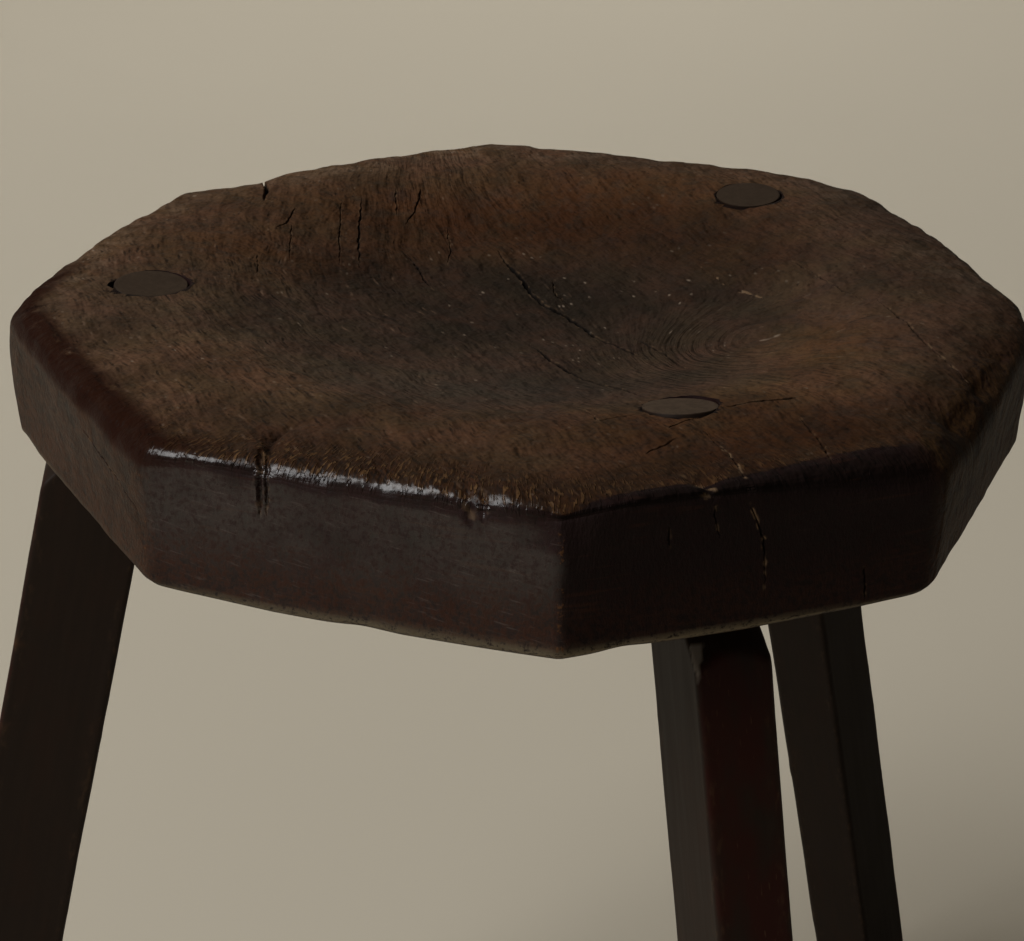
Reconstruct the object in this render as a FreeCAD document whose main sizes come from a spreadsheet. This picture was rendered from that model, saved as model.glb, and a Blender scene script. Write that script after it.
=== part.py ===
import FreeCAD, Part
import math
import os
import Sketcher

# Driving sizes in millimetres and degrees; directions turn anticlockwise from +X seen from above
SIZES = {
    # Seat plank, an octagon cut by hand: each corner has its own reach and direction from the seat's middle
    "seat_height": 450,
    "seat_thickness": 51.5,
    "seat_middle_x": 36,
    "seat_middle_y": -8.3,
    "corner_1_reach": 172,
    "corner_1_direction": -86,
    "corner_2_reach": 186,
    "corner_2_direction": -45,
    "corner_3_reach": 182,
    "corner_3_direction": -3,
    "corner_4_reach": 194,
    "corner_4_direction": 46.5,
    "corner_5_reach": 191,
    "corner_5_direction": 93.5,
    "corner_6_reach": 188,
    "corner_6_direction": 136,
    "corner_7_reach": 184,
    "corner_7_direction": 179,
    "corner_8_reach": 174,
    "corner_8_direction": 226,
    "side_lean": 3,
    "corner_round": 6,
    "top_arris_round": 7,
    "bottom_chamfer": 2.5,
    # Worn hollow of the seat, measured from the seat's middle
    "dish_x": 3,
    "dish_y": 20,
    "dish_radius": 142,
    "dish_depth": 17,
    "dish_lip_round": 90,
    # Legs: rectangular bars with a shaved neck and a round through tenon near the inner side
    "leg_width": 39,
    "leg_thickness": 26,
    "leg_arris_round": 1.5,
    "neck_half_angle": 31,
    "tenon_diameter": 25,
    "tenon_inner_shoulder": 0.5,
    "mortise_clearance": 0.3,
    # Where each tenon's axis meets the plane of the rim, its splay from upright, the way it leans
    # outwards, and the turn of the bar about its own axis
    "left_x": -133.5,
    "left_y": 18,
    "left_splay": 13.2,
    "left_direction": 182,
    "left_turn": 1.5,
    "front_x": 51.5,
    "front_y": -90,
    "front_splay": 13.6,
    "front_direction": -66.5,
    "front_turn": -3,
    "back_x": 90,
    "back_y": 117.5,
    "back_splay": 14.9,
    "back_direction": 48,
    "back_turn": 12.5,
    # Waste left above the rim before the tenons are trimmed, and the height that a cut clears
    "tenon_waste": 12,
}

CORNERS = range(1, 9)
LEGS = {"left": "leg_left", "front": "leg_front_right", "back": "leg_back_right"}

# Numbers by which a sketch knows its own origin, its upright axis and the points of an edge
UPRIGHT_AXIS, ORIGIN = range(-2, 0)
START, END, CENTRE = range(1, 4)

TOLERANCE = 1e-6


def add_sheet(doc):
    sheet = doc.addObject("Spreadsheet::Sheet", "Sizes")
    for row, (alias, size) in enumerate(SIZES.items(), 1):
        sheet.set(f"A{row}", alias)
        sheet.set(f"B{row}", str(size))
        sheet.setAlias(f"B{row}", alias)
    doc.recompute()
    return sheet


def add_body(doc, label):
    body = doc.addObject("PartDesign::Body", label)
    body.Label = label
    return body


def add_sketch(body, name, place):
    # A sketch on the body's ground plane, moved to where the expression puts it
    ground = [plane for plane in body.Origin.OriginFeatures if plane.Role == "XY_Plane"][0]
    sketch = body.newObject("Sketcher::SketchObject", name)
    sketch.AttachmentSupport = [(ground, "")]
    sketch.MapMode = "FlatFace"
    sketch.setExpression("AttachmentOffset", place)
    return sketch


def bind(sketch, kind, geometry, point, expression):
    # Dimension from the sketch's origin to a point, tied to the sheet
    size = float(sketch.evalExpression(expression))
    index = sketch.addConstraint(Sketcher.Constraint(kind, ORIGIN, START, geometry, point, size))
    sketch.setExpression(f"Constraints[{index}]", expression)


def bind_radius(sketch, geometry, expression):
    size = float(sketch.evalExpression(expression))
    index = sketch.addConstraint(Sketcher.Constraint("Radius", geometry, size))
    sketch.setExpression(f"Constraints[{index}]", expression)


def draw_polygon(sketch, corners):
    points = [
        FreeCAD.Vector(float(sketch.evalExpression(x)), float(sketch.evalExpression(y)), 0)
        for x, y in corners
    ]
    count = len(points)
    for side in range(count):
        sketch.addGeometry(Part.LineSegment(points[side], points[(side + 1) % count]), False)
    for side in range(count):
        sketch.addConstraint(Sketcher.Constraint("Coincident", side, END, (side + 1) % count, START))
    for side, (x, y) in enumerate(corners):
        bind(sketch, "DistanceX", side, START, x)
        bind(sketch, "DistanceY", side, START, y)


def seat_place():
    return "placement(vector(Sizes.seat_middle_x; Sizes.seat_middle_y; Sizes.seat_height); rotation(0; 0; 0))"


def leg_place(leg):
    # Frame at a tenon's axis on the plane of the rim: Z up the leg, X the way it leans outwards
    base = (
        f"vector(Sizes.seat_middle_x + Sizes.{leg}_x; Sizes.seat_middle_y + Sizes.{leg}_y; Sizes.seat_height)"
    )
    return f"placement({base}; rotation(Sizes.{leg}_direction; -Sizes.{leg}_splay; 0))"


def upright(place):
    # The same frame turned so that a sketch stands in the plane of X and Z
    return f"{place} * placement(vector(0; 0; 0); rotation(0; 0; 90))"


def dish_place():
    offset = "placement(vector(Sizes.dish_x; Sizes.dish_y; 0); rotation(0; 0; 0))"
    return upright(f"{seat_place()} * {offset}")


def draw_dish(sketch, outer_reach):
    # Half section of what is hollowed away: a bowl, a lip that rolls over to the rim, then the rim's plane
    def value(expression):
        return float(sketch.evalExpression(expression))

    radius = value("Sizes.dish_radius")
    depth = value("Sizes.dish_depth")
    lip = value("Sizes.dish_lip_round")
    bowl = (radius**2 + depth**2) / (2 * depth) - lip
    turn = math.asin(radius / (bowl + lip))
    down, up = -math.pi / 2, math.pi / 2
    axis = FreeCAD.Vector(0, 0, 1)
    bowl_circle = Part.Circle(FreeCAD.Vector(0, bowl - depth, 0), axis, bowl)
    lip_circle = Part.Circle(FreeCAD.Vector(radius, -lip, 0), axis, lip)
    sketch.addGeometry(Part.ArcOfCircle(bowl_circle, down, down + turn), False)
    sketch.addGeometry(Part.ArcOfCircle(lip_circle, up, up + turn), False)
    clear = "2 * Sizes.tenon_waste"
    outline = [
        FreeCAD.Vector(radius, 0, 0),
        FreeCAD.Vector(value(outer_reach), 0, 0),
        FreeCAD.Vector(value(outer_reach), value(clear), 0),
        FreeCAD.Vector(0, value(clear), 0),
        FreeCAD.Vector(0, -depth, 0),
    ]
    for start, end in zip(outline, outline[1:]):
        sketch.addGeometry(Part.LineSegment(start, end), False)

    bowl_arc, lip_arc, rim_line, outer_line, top_line, axis_line = range(6)
    for constraint in (
        ("PointOnObject", bowl_arc, CENTRE, UPRIGHT_AXIS),
        ("Tangent", bowl_arc, END, lip_arc, END),
        ("Tangent", lip_arc, START, rim_line, START),
        ("Coincident", rim_line, END, outer_line, START),
        ("Coincident", outer_line, END, top_line, START),
        ("Coincident", top_line, END, axis_line, START),
        ("Coincident", axis_line, END, bowl_arc, START),
        ("PointOnObject", axis_line, END, UPRIGHT_AXIS),
        ("Horizontal", rim_line),
        ("Vertical", outer_line),
        ("Horizontal", top_line),
        ("Vertical", axis_line),
    ):
        sketch.addConstraint(Sketcher.Constraint(*constraint))
    bind(sketch, "DistanceX", lip_arc, CENTRE, "Sizes.dish_radius")
    bind(sketch, "DistanceY", lip_arc, CENTRE, "-Sizes.dish_lip_round")
    bind_radius(sketch, lip_arc, "Sizes.dish_lip_round")
    bind(sketch, "DistanceY", bowl_arc, START, "-Sizes.dish_depth")
    bind(sketch, "DistanceX", outer_line, START, outer_reach)
    bind(sketch, "DistanceY", outer_line, END, clear)


def add_groove(body, name, sketch):
    groove = body.newObject("PartDesign::Groove", name)
    groove.Profile = sketch
    groove.ReferenceAxis = (sketch, ["V_Axis"])
    groove.Angle = 360
    return groove


def add_edge_feature(body, kind, name, base, edges, size_name, alias):
    feature = body.newObject(f"PartDesign::{kind}", name)
    feature.Base = (base, edges)
    feature.setExpression(size_name, f"Sizes.{alias}")
    body.Document.recompute()
    return feature


def edges_where(feature, test):
    return [f"Edge{number}" for number, edge in enumerate(feature.Shape.Edges, 1) if test(edge)]


def lies_at(edge, height):
    return all(abs(vertex.Z - height) < TOLERANCE for vertex in edge.Vertexes)


def make_seat(doc, sheet):
    body = add_body(doc, "seat")
    plan = add_sketch(body, "SeatPlan", seat_place())
    corners = [
        (
            f"Sizes.corner_{corner}_reach * cos(Sizes.corner_{corner}_direction)",
            f"Sizes.corner_{corner}_reach * sin(Sizes.corner_{corner}_direction)",
        )
        for corner in CORNERS
    ]
    draw_polygon(plan, corners)
    plank = body.newObject("PartDesign::Pad", "Plank")
    plank.Profile = plan
    plank.Reversed = True
    plank.setExpression("Length", "Sizes.seat_thickness")
    plank.setExpression("TaperAngle", "-Sizes.side_lean")
    doc.recompute()

    top = sheet.seat_height
    underside = sheet.seat_height - sheet.seat_thickness
    standing = edges_where(plank, lambda edge: not lies_at(edge, top) and not lies_at(edge, underside))
    rounded = add_edge_feature(body, "Fillet", "CornerRounds", plank, standing, "Radius", "corner_round")
    rim = edges_where(rounded, lambda edge: lies_at(edge, top))
    worn = add_edge_feature(body, "Fillet", "WornTopArris", rounded, rim, "Radius", "top_arris_round")
    base = edges_where(worn, lambda edge: lies_at(edge, underside))
    add_edge_feature(body, "Chamfer", "BottomChamfer", worn, base, "Size", "bottom_chamfer")

    hollow = add_sketch(body, "DishSection", dish_place())
    draw_dish(hollow, "Sizes.dish_radius + Sizes.tenon_waste")
    add_groove(body, "Dish", hollow)

    for leg in LEGS:
        ring = add_sketch(body, f"MortiseCircle_{leg}", leg_place(leg))
        bore = ring.addGeometry(Part.Circle(), False)
        ring.addConstraint(Sketcher.Constraint("Coincident", bore, CENTRE, ORIGIN, START))
        bind_radius(ring, bore, "Sizes.tenon_diameter / 2 + Sizes.mortise_clearance")
        mortise = body.newObject("PartDesign::Pocket", f"Mortise_{leg}")
        mortise.Profile = ring
        mortise.Type = "ThroughAll"
        mortise.SideType = "Symmetric"
    doc.recompute()
    return body


def make_leg(doc, leg, label):
    body = add_body(doc, label)
    tenon_radius = "Sizes.tenon_diameter / 2"

    # The bar, set out from the tenon's axis, from above the rim down past the floor
    lift = f"placement(vector(0; 0; Sizes.tenon_waste); rotation(Sizes.{leg}_turn; 0; 0))"
    section = add_sketch(body, f"BarSection_{leg}", f"{leg_place(leg)} * {lift}")
    inner = f"-({tenon_radius} + Sizes.tenon_inner_shoulder)"
    outer = f"Sizes.leg_width - {tenon_radius} - Sizes.tenon_inner_shoulder"
    near, far = "-Sizes.leg_thickness / 2", "Sizes.leg_thickness / 2"
    draw_polygon(section, [(inner, near), (outer, near), (outer, far), (inner, far)])
    bar = body.newObject("PartDesign::Pad", f"Bar_{leg}")
    bar.Profile = section
    bar.Reversed = True
    bar.setExpression(
        "Length", f"(Sizes.seat_height + Sizes.leg_width) / cos(Sizes.{leg}_splay) + Sizes.tenon_waste"
    )
    doc.recompute()
    longest = max(edge.Length for edge in bar.Shape.Edges)
    arrises = edges_where(bar, lambda edge: edge.Length > longest - TOLERANCE)
    add_edge_feature(body, "Fillet", f"Arrises_{leg}", bar, arrises, "Radius", "leg_arris_round")

    # The round tenon, and the neck below the seat that widens until it runs out on the bar's arrises
    turned = add_sketch(body, f"TenonSection_{leg}", upright(leg_place(leg)))
    mouth = f"({tenon_radius} + Sizes.mortise_clearance) * tan(Sizes.{leg}_splay)"
    neck_top = f"-(Sizes.seat_thickness / cos(Sizes.{leg}_splay) + {mouth})"
    wide = "Sizes.leg_width"
    neck_foot = f"{neck_top} - ({wide} - {tenon_radius}) / tan(Sizes.neck_half_angle)"
    above = "2 * Sizes.tenon_waste"
    draw_polygon(
        turned,
        [(tenon_radius, above), (tenon_radius, neck_top), (wide, neck_foot), (wide, above)],
    )
    add_groove(body, f"TenonAndNeck_{leg}", turned)

    # The foot sawn level with the floor
    floor = add_sketch(body, f"Floor_{leg}", "placement(vector(0; 0; 0); rotation(0; 0; 0))")
    low, high = "-2 * Sizes.seat_height", "2 * Sizes.seat_height"
    draw_polygon(floor, [(low, low), (high, low), (high, high), (low, high)])
    foot = body.newObject("PartDesign::Pocket", f"FootCut_{leg}")
    foot.Profile = floor
    foot.Type = "ThroughAll"

    # The tenon's end trimmed flush with the hollowed seat
    flush = add_sketch(body, f"TenonEnd_{leg}", dish_place())
    draw_dish(flush, "2 * Sizes.dish_radius")
    add_groove(body, f"TenonTrim_{leg}", flush)
    doc.recompute()
    return body


def check(doc, bodies):
    for item in doc.Objects:
        if "Invalid" in item.State or "Error" in item.State:
            raise RuntimeError(f"{item.Name} failed: {item.State}")
    for body in bodies:
        shape = body.Shape
        if shape.isNull() or not shape.isValid() or len(shape.Solids) != 1:
            raise RuntimeError(f"{body.Label} is not one valid solid")


def main():
    doc = FreeCAD.newDocument("MilkingStool")
    sheet = add_sheet(doc)
    bodies = [make_seat(doc, sheet)]
    bodies += [make_leg(doc, leg, label) for leg, label in LEGS.items()]
    doc.recompute()
    check(doc, bodies)
    os.makedirs("parts", exist_ok=True)
    for body in bodies:
        body.Shape.exportStep(os.path.join("parts", f"{body.Label}.step"))
        print(f"{body.Label}: {body.Shape.Volume / 1000:.1f} cm3, {len(body.Shape.Faces)} faces")


main()
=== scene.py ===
import math
from types import SimpleNamespace

import bmesh
import bpy
import numpy as np
from mathutils import Matrix, Vector


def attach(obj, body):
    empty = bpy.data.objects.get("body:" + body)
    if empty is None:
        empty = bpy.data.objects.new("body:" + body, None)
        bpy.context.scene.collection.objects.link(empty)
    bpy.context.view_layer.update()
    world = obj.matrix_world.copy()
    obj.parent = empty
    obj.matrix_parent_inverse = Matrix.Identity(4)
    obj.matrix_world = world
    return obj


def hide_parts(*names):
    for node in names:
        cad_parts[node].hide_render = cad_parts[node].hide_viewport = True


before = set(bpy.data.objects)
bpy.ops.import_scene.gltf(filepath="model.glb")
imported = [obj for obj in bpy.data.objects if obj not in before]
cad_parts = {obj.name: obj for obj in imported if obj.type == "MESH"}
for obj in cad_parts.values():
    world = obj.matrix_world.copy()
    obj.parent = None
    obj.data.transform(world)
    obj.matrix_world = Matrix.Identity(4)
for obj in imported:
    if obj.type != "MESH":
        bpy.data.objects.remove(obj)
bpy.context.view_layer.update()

toMetres = 0.001  # everything below is worked out in millimetres
seatMiddle = np.array([36.0, -8.3, 450.0])  # seat's middle, on the plane of its rim
nearby = 7.0  # how far from a crack's line the surface is looked at


# shapes: smooth lumps, eased steps and distances

# smooth lumps of about that size, roughly -1 to 1; scrambled whole numbers stand in for random slopes
def latticeNoise(points, size, seed):
    p = np.asarray(points, float) / size + seed * 17.31
    cell = np.floor(p).astype(np.int64)
    local = p - cell
    ease = local ** 3 * (local * (local * 6 - 15) + 10)
    value = np.zeros(len(p))
    for corner in range(8):
        step = np.array([corner & 1, corner >> 1 & 1, corner >> 2 & 1])
        at = cell + step
        code = at[:, 0] * 374761393 + at[:, 1] * 668265263 + at[:, 2] * 1440662683 + seed * 97531
        code = (code ^ (code >> 13)) * 1274126177
        code = code ^ (code >> 16)
        slope = np.stack([(code >> shift & 255) / 127.5 - 1 for shift in (0, 8, 20)], axis=1)
        weight = np.prod(np.where(step, ease, 1 - ease), axis=1)
        value += weight * np.sum(slope * (local - step), axis=1)
    return value * 1.4


def lumps(points, *rows):  # lumps of several sizes together: height, size and seed of each
    return sum(height * latticeNoise(points, size, seed) for height, size, seed in rows)


def easeStep(low, high, value):
    t = np.clip((value - low) / (high - low), 0, 1)
    return t * t * (3 - 2 * t)


def bell(value, middle, width):
    return np.exp(-((value - middle) / width) ** 2)


def nearLine(points, line, normals=None):  # distance to a bent line, and the share of it passed
    line = np.asarray(line, float)
    lengths = np.linalg.norm(np.diff(line, axis=0), axis=1)
    starts = np.concatenate([[0], np.cumsum(lengths)])
    best = np.full(len(points), 1e9)
    along = np.zeros(len(points))
    for i, length in enumerate(lengths):
        ray = (line[i + 1] - line[i]) / length
        t = np.clip((points - line[i]) @ ray, 0, length)
        aside = points - line[i] - t[:, None] * ray
        if normals is not None:  # height over the surface doesn't count
            off = np.sum(aside * normals, axis=1)
            aside = aside - normals * np.where(np.abs(off) < nearby, off, 0)[:, None]
        gap = np.linalg.norm(aside, axis=1)
        nearer = gap < best
        best[nearer] = gap[nearer]
        along[nearer] = (starts[i] + t[nearer]) / starts[-1]
    return best, along


# meshes

def ringFaces(rings):  # rings of vertex numbers, each as long as the last, or twice or half of it
    faces = []
    for inner, outer in zip(rings, rings[1:]):
        a, b = len(inner), len(outer)
        if a == 1:
            faces += [(inner[0], outer[i], outer[(i + 1) % b]) for i in range(b)]
        elif b == 1:
            faces += [(outer[0], inner[(i + 1) % a], inner[i]) for i in range(a)]
        elif a == b:
            faces += [(inner[i], outer[i], outer[(i + 1) % a], inner[(i + 1) % a]) for i in range(a)]
        elif b == 2 * a:
            for i in range(a):
                n, o = inner[(i + 1) % a], outer[2 * i + 1]
                faces += [(inner[i], outer[2 * i], o), (inner[i], o, n), (n, o, outer[(2 * i + 2) % b])]
        else:
            for i in range(b):
                n, o = outer[(i + 1) % b], inner[2 * i + 1]
                faces += [(inner[2 * i], outer[i], o), (o, outer[i], n), (o, n, inner[(2 * i + 2) % a])]
    return faces


def ringMaker():  # the points and rings of a piece, and what adds a ring to them
    points, rings = [], []

    def addRing(x, y, z):
        start = len(points)
        points.extend(np.column_stack([x, y, np.broadcast_to(z, np.shape(x))]))
        rings.append(list(range(start, start + len(x))))

    return points, rings, addRing


def newPiece(name, points, faces):
    mesh = bpy.data.meshes.new(name)
    mesh.from_pydata([tuple(p) for p in points], [], faces)
    piece = bpy.data.objects.new(name, mesh)
    bpy.context.scene.collection.objects.link(piece)
    return piece


def getPoints(mesh):
    flat = np.empty(len(mesh.vertices) * 3)
    mesh.vertices.foreach_get("co", flat)
    return flat.reshape(-1, 3)


def getNormals(mesh):
    flat = np.empty(len(mesh.vertices) * 3, np.float32)
    mesh.vertex_normals.foreach_get("vector", flat)
    return flat.reshape(-1, 3).astype(float)


def setPoints(mesh, points):
    mesh.vertices.foreach_set("co", np.ascontiguousarray(points, np.float32).ravel())
    mesh.update()


def paint(mesh, name, values):  # one number per vertex, for the finishes to read
    layer = mesh.attributes.new(name, "FLOAT", "POINT")
    layer.data.foreach_set("value", np.ascontiguousarray(values, np.float32))


# shader nodes: each goes into the tree of the material begun last
tree = None


def put(kind, sockets, out=0, **settings):  # one node, with its values and links
    made = tree.nodes.new("ShaderNode" + kind)
    for name, value in settings.items():
        setattr(made, name, value)
    for socket, value in sockets.items():
        if isinstance(value, bpy.types.NodeSocket):
            tree.links.new(value, made.inputs[socket])
        else:
            made.inputs[socket].default_value = value
    return made.outputs[out] if len(made.outputs) else made


def newMaterial(name):
    global tree
    material = bpy.data.materials.new(name)
    material.use_nodes = True
    tree = material.node_tree
    tree.nodes.clear()
    return material


def painted(*names):
    return [put("Attribute", {}, out=2, attribute_name=name) for name in names]


def maths(how, a, b):
    return put("Math", {0: a, 1: b}, operation=how)


def both(a, b):
    return maths("MULTIPLY", a, b)


def total(a, b):
    return maths("ADD", a, b)


def span(value, low, high, toLow=0.0, toHigh=1.0):
    sockets = {0: value, 1: low, 2: high, 3: toLow, 4: toHigh}
    return put("MapRange", sockets, interpolation_type="SMOOTHSTEP")


def mixed(factor, first, second):  # numbers
    return put("Mix", {0: factor, 2: first, 3: second})


def blend(factor, first, second, how="MIX"):  # colours
    return put("MixRGB", {0: factor, 1: first, 2: second}, blend_type=how)


def ramp(factor, stops):  # colours along a scale, each at its place
    made = tree.nodes.new("ShaderNodeValToRGB")
    marks = made.color_ramp.elements
    while len(marks) < len(stops):
        marks.new(0.5)
    for mark, (place, tone) in zip(marks, stops):
        mark.position = place
        mark.color = tone
    tree.links.new(factor, made.inputs[0])
    return made.outputs[0]


def colour(red, green, blue):
    return (red, green, blue, 1.0)


def tonesOf(finish):
    return {name: colour(*value) for name, value in finish.items() if isinstance(value, tuple)}


def scaled(values, sizes):  # place in a texture where each value counts in its own size
    return put("CombineXYZ", {i: maths("DIVIDE", values[i], size) for i, size in enumerate(sizes)})


def noiseIn(values, sizes, detail, rough):
    sockets = {"Vector": scaled(values, sizes), "Scale": 1.0, "Detail": detail, "Roughness": rough}
    return put("TexNoise", sockets)


# the plank: sides go round from the front right one, against the clock as seen from above
plank = {
    "corners": [  # how far out each is, and in which direction
        (170, -86), (186, -45), (182, -3), (192, 46.5), (191, 93.5), (188, 136), (184, 179), (172, 226),
    ],
    "bulge": [0.5, 1.0, 5.5, 2.5, 2.5, 3.0, 1.5, 0.5],  # each side bows out at its middle
    "cornerWear": [1.0, 4.2, 3.5, 3.0, 3.0, 3.0, 3.0, 2.2],
    "thickness": 51.5,
    "lean": [1.0, 5.5, 4.0, 3.0, 3.0, 3.0, 1.6, -0.6],  # degrees in towards the underside
    "arris": [  # round of the top edge in each direction
        (-86, 8.0), (-79, 4.0), (-68, 4.5), (-58, 8.5), (-49, 12), (-20, 11), (0, 8), (30, 7), (60, 6),
        (130, 6), (180, 9), (222, 9), (231, 6.2), (245, 7.6), (260, 8.8),
    ],
    "arrisUneven": [(0.22, 26, 8), (0.1, 9, 9)],
    "rollDrop": [0.6, 4.6, 2.0, 0.8, 2.4, 1.4, 2.2, 0.2],  # the rim slopes off to the edge
    "rollWidth": [20, 34, 24, 24, 18, 20, 30, 20],
    "sag": [  # how far the lower edge hangs in each direction
        (-86, 1.0), (-65, 0.4), (-45, -2.0), (-10, -0.6), (45, 0), (180, 0), (226, -1.4), (240, 0.6),
        (256, 1.2),
    ],
    "chamfer": 2.6,
    "outlineStep": 0.5,
    "columns": 576,
    "topRows": 84,
    "arrisRows": 9,
    "sideRows": 20,
    "underRows": 10,
}

dish = {
    "middle": (6.0, 20.0),
    "depth": 17.0,
    "reach": [
        (-160, 126), (-100, 121), (-60, 122), (-15, 124), (35, 116), (80, 126), (125, 131), (170, 121),
    ],
    "steep": [(-160, 2.1), (-100, 2.3), (-40, 1.9), (20, 1.8), (80, 2.3), (125, 2.8), (170, 2.1)],
    "lip": 1.6,
}

grain = {
    "direction": -66.0,  # the plank's grain, seen from above
    "lean": (0.90, 0.42),  # how the count of rings grows to the right and to the back
    "upright": (-10.0, -70.0, 58.0, 14.0),  # left of these and behind that the grain runs straight back
    "swirl": (77.0, -18.0),  # where the rings close into ovals
    "swirlReach": 24.0,
    "swirlLift": 66.0,
    "drift": [(5.0, 75, 3), (2.4, 22, 4)],
}


def roundTable(table, angle):  # value round the seat from a few given directions, in degrees
    at = np.array([a for a, _ in table], float)
    value = np.array([v for _, v in table], float)
    order = np.argsort(at % 360)
    return np.interp(np.degrees(angle) % 360, (at % 360)[order], value[order], period=360)


def perSide(values, angle, ease=0.2):  # value of the side in that direction, eased across the corners
    at = [direction for _, direction in plank["corners"]]
    middles = []
    for i in range(8):
        turn = (at[(i + 1) % 8] - at[i]) % 360
        middles += [(at[i] + turn * ease, values[i]), (at[i] + turn * (1 - ease), values[i])]
    return roundTable(middles, angle)


def makeOutline():
    corners = [
        np.array([reach * math.cos(math.radians(d)), reach * math.sin(math.radians(d))])
        for reach, d in plank["corners"]
    ]
    points, nearest = [], []
    spacing = plank["outlineStep"]
    for i, start in enumerate(corners):
        run = corners[(i + 1) % 8] - start
        out = np.array([run[1], -run[0]]) / np.linalg.norm(run)
        steps = max(2, int(np.linalg.norm(run) / spacing))
        for t in np.arange(steps) / steps:
            points.append(start + run * t + out * plank["bulge"][i] * math.sin(math.pi * t))
            nearest.append(i if t < 0.5 else (i + 1) % 8)
    points, nearest = np.array(points), np.array(nearest)
    soft = points.copy()
    for i, wear in enumerate(plank["cornerWear"]):  # each corner is worn round by its own amount
        reachSteps = int(wear * 3 / spacing)
        kernel = np.exp(-0.5 * (np.arange(-reachSteps, reachSteps + 1) * spacing / wear) ** 2)
        kernel /= kernel.sum()
        padded = np.concatenate([points[-reachSteps:], points, points[:reachSteps]])
        rounded = np.stack([np.convolve(padded[:, axis], kernel, "valid") for axis in (0, 1)], axis=1)
        soft[nearest == i] = rounded[nearest == i]
    angle = np.degrees(np.arctan2(soft[:, 1], soft[:, 0])) % 360
    order = np.argsort(angle)
    return angle[order], np.hypot(soft[:, 0], soft[:, 1])[order]


outlineAngle, outlineReach = makeOutline()


def edgeReach(angle):
    return np.interp(np.degrees(angle) % 360, outlineAngle, outlineReach, period=360)


def topHeight(x, y):  # worn top over the rim's plane, without its fine marks
    r, angle = np.hypot(x, y), np.arctan2(y, x)
    dx, dy = x - dish["middle"][0], y - dish["middle"][1]
    away, way = np.hypot(dx, dy), np.arctan2(dy, dx)
    share = away / roundTable(dish["reach"], way)
    raw = dish["depth"] * (share ** roundTable(dish["steep"], way) - 1)
    bowl = -dish["lip"] * np.logaddexp(0, -raw / dish["lip"])
    inset = np.maximum(edgeReach(angle) - r, 0)
    roll = np.maximum(0, 1 - inset / perSide(plank["rollWidth"], angle)) ** 2
    return bowl - perSide(plank["rollDrop"], angle) * roll


def onTop(points):  # plan points set down on the worn top
    plan = np.asarray(points, float)
    return np.column_stack([plan, topHeight(plan[:, 0], plan[:, 1])])


def alongGrain(points):
    turn = math.radians(grain["direction"])
    return points[:, 0] * math.cos(turn) + points[:, 1] * math.sin(turn)


def swirlShare(points, reach):
    gap = (points[:, 0] - grain["swirl"][0]) ** 2 + (points[:, 1] - grain["swirl"][1]) ** 2
    return np.exp(-gap / (2 * reach ** 2))


def acrossGrain(points):
    leanX, leanY = grain["lean"]
    right, left, behind, soft = grain["upright"]
    straight = leanX * points[:, 0] + leanY * points[:, 1]
    turned = easeStep(right, left, points[:, 0]) * soft * np.logaddexp(0, (points[:, 1] - behind) / soft)
    drift = lumps(points, *grain["drift"])
    return straight - leanY * turned + grain["swirlLift"] * swirlShare(points, grain["swirlReach"]) + drift


# a crack's points are seen from above, or have a height too where they are on a side
def newCrack(half, deep, dark, *line, pale=0.4, start=0.2):
    return {"half": half, "deep": deep, "dark": dark, "line": line, "pale": pale, "start": start}


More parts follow.
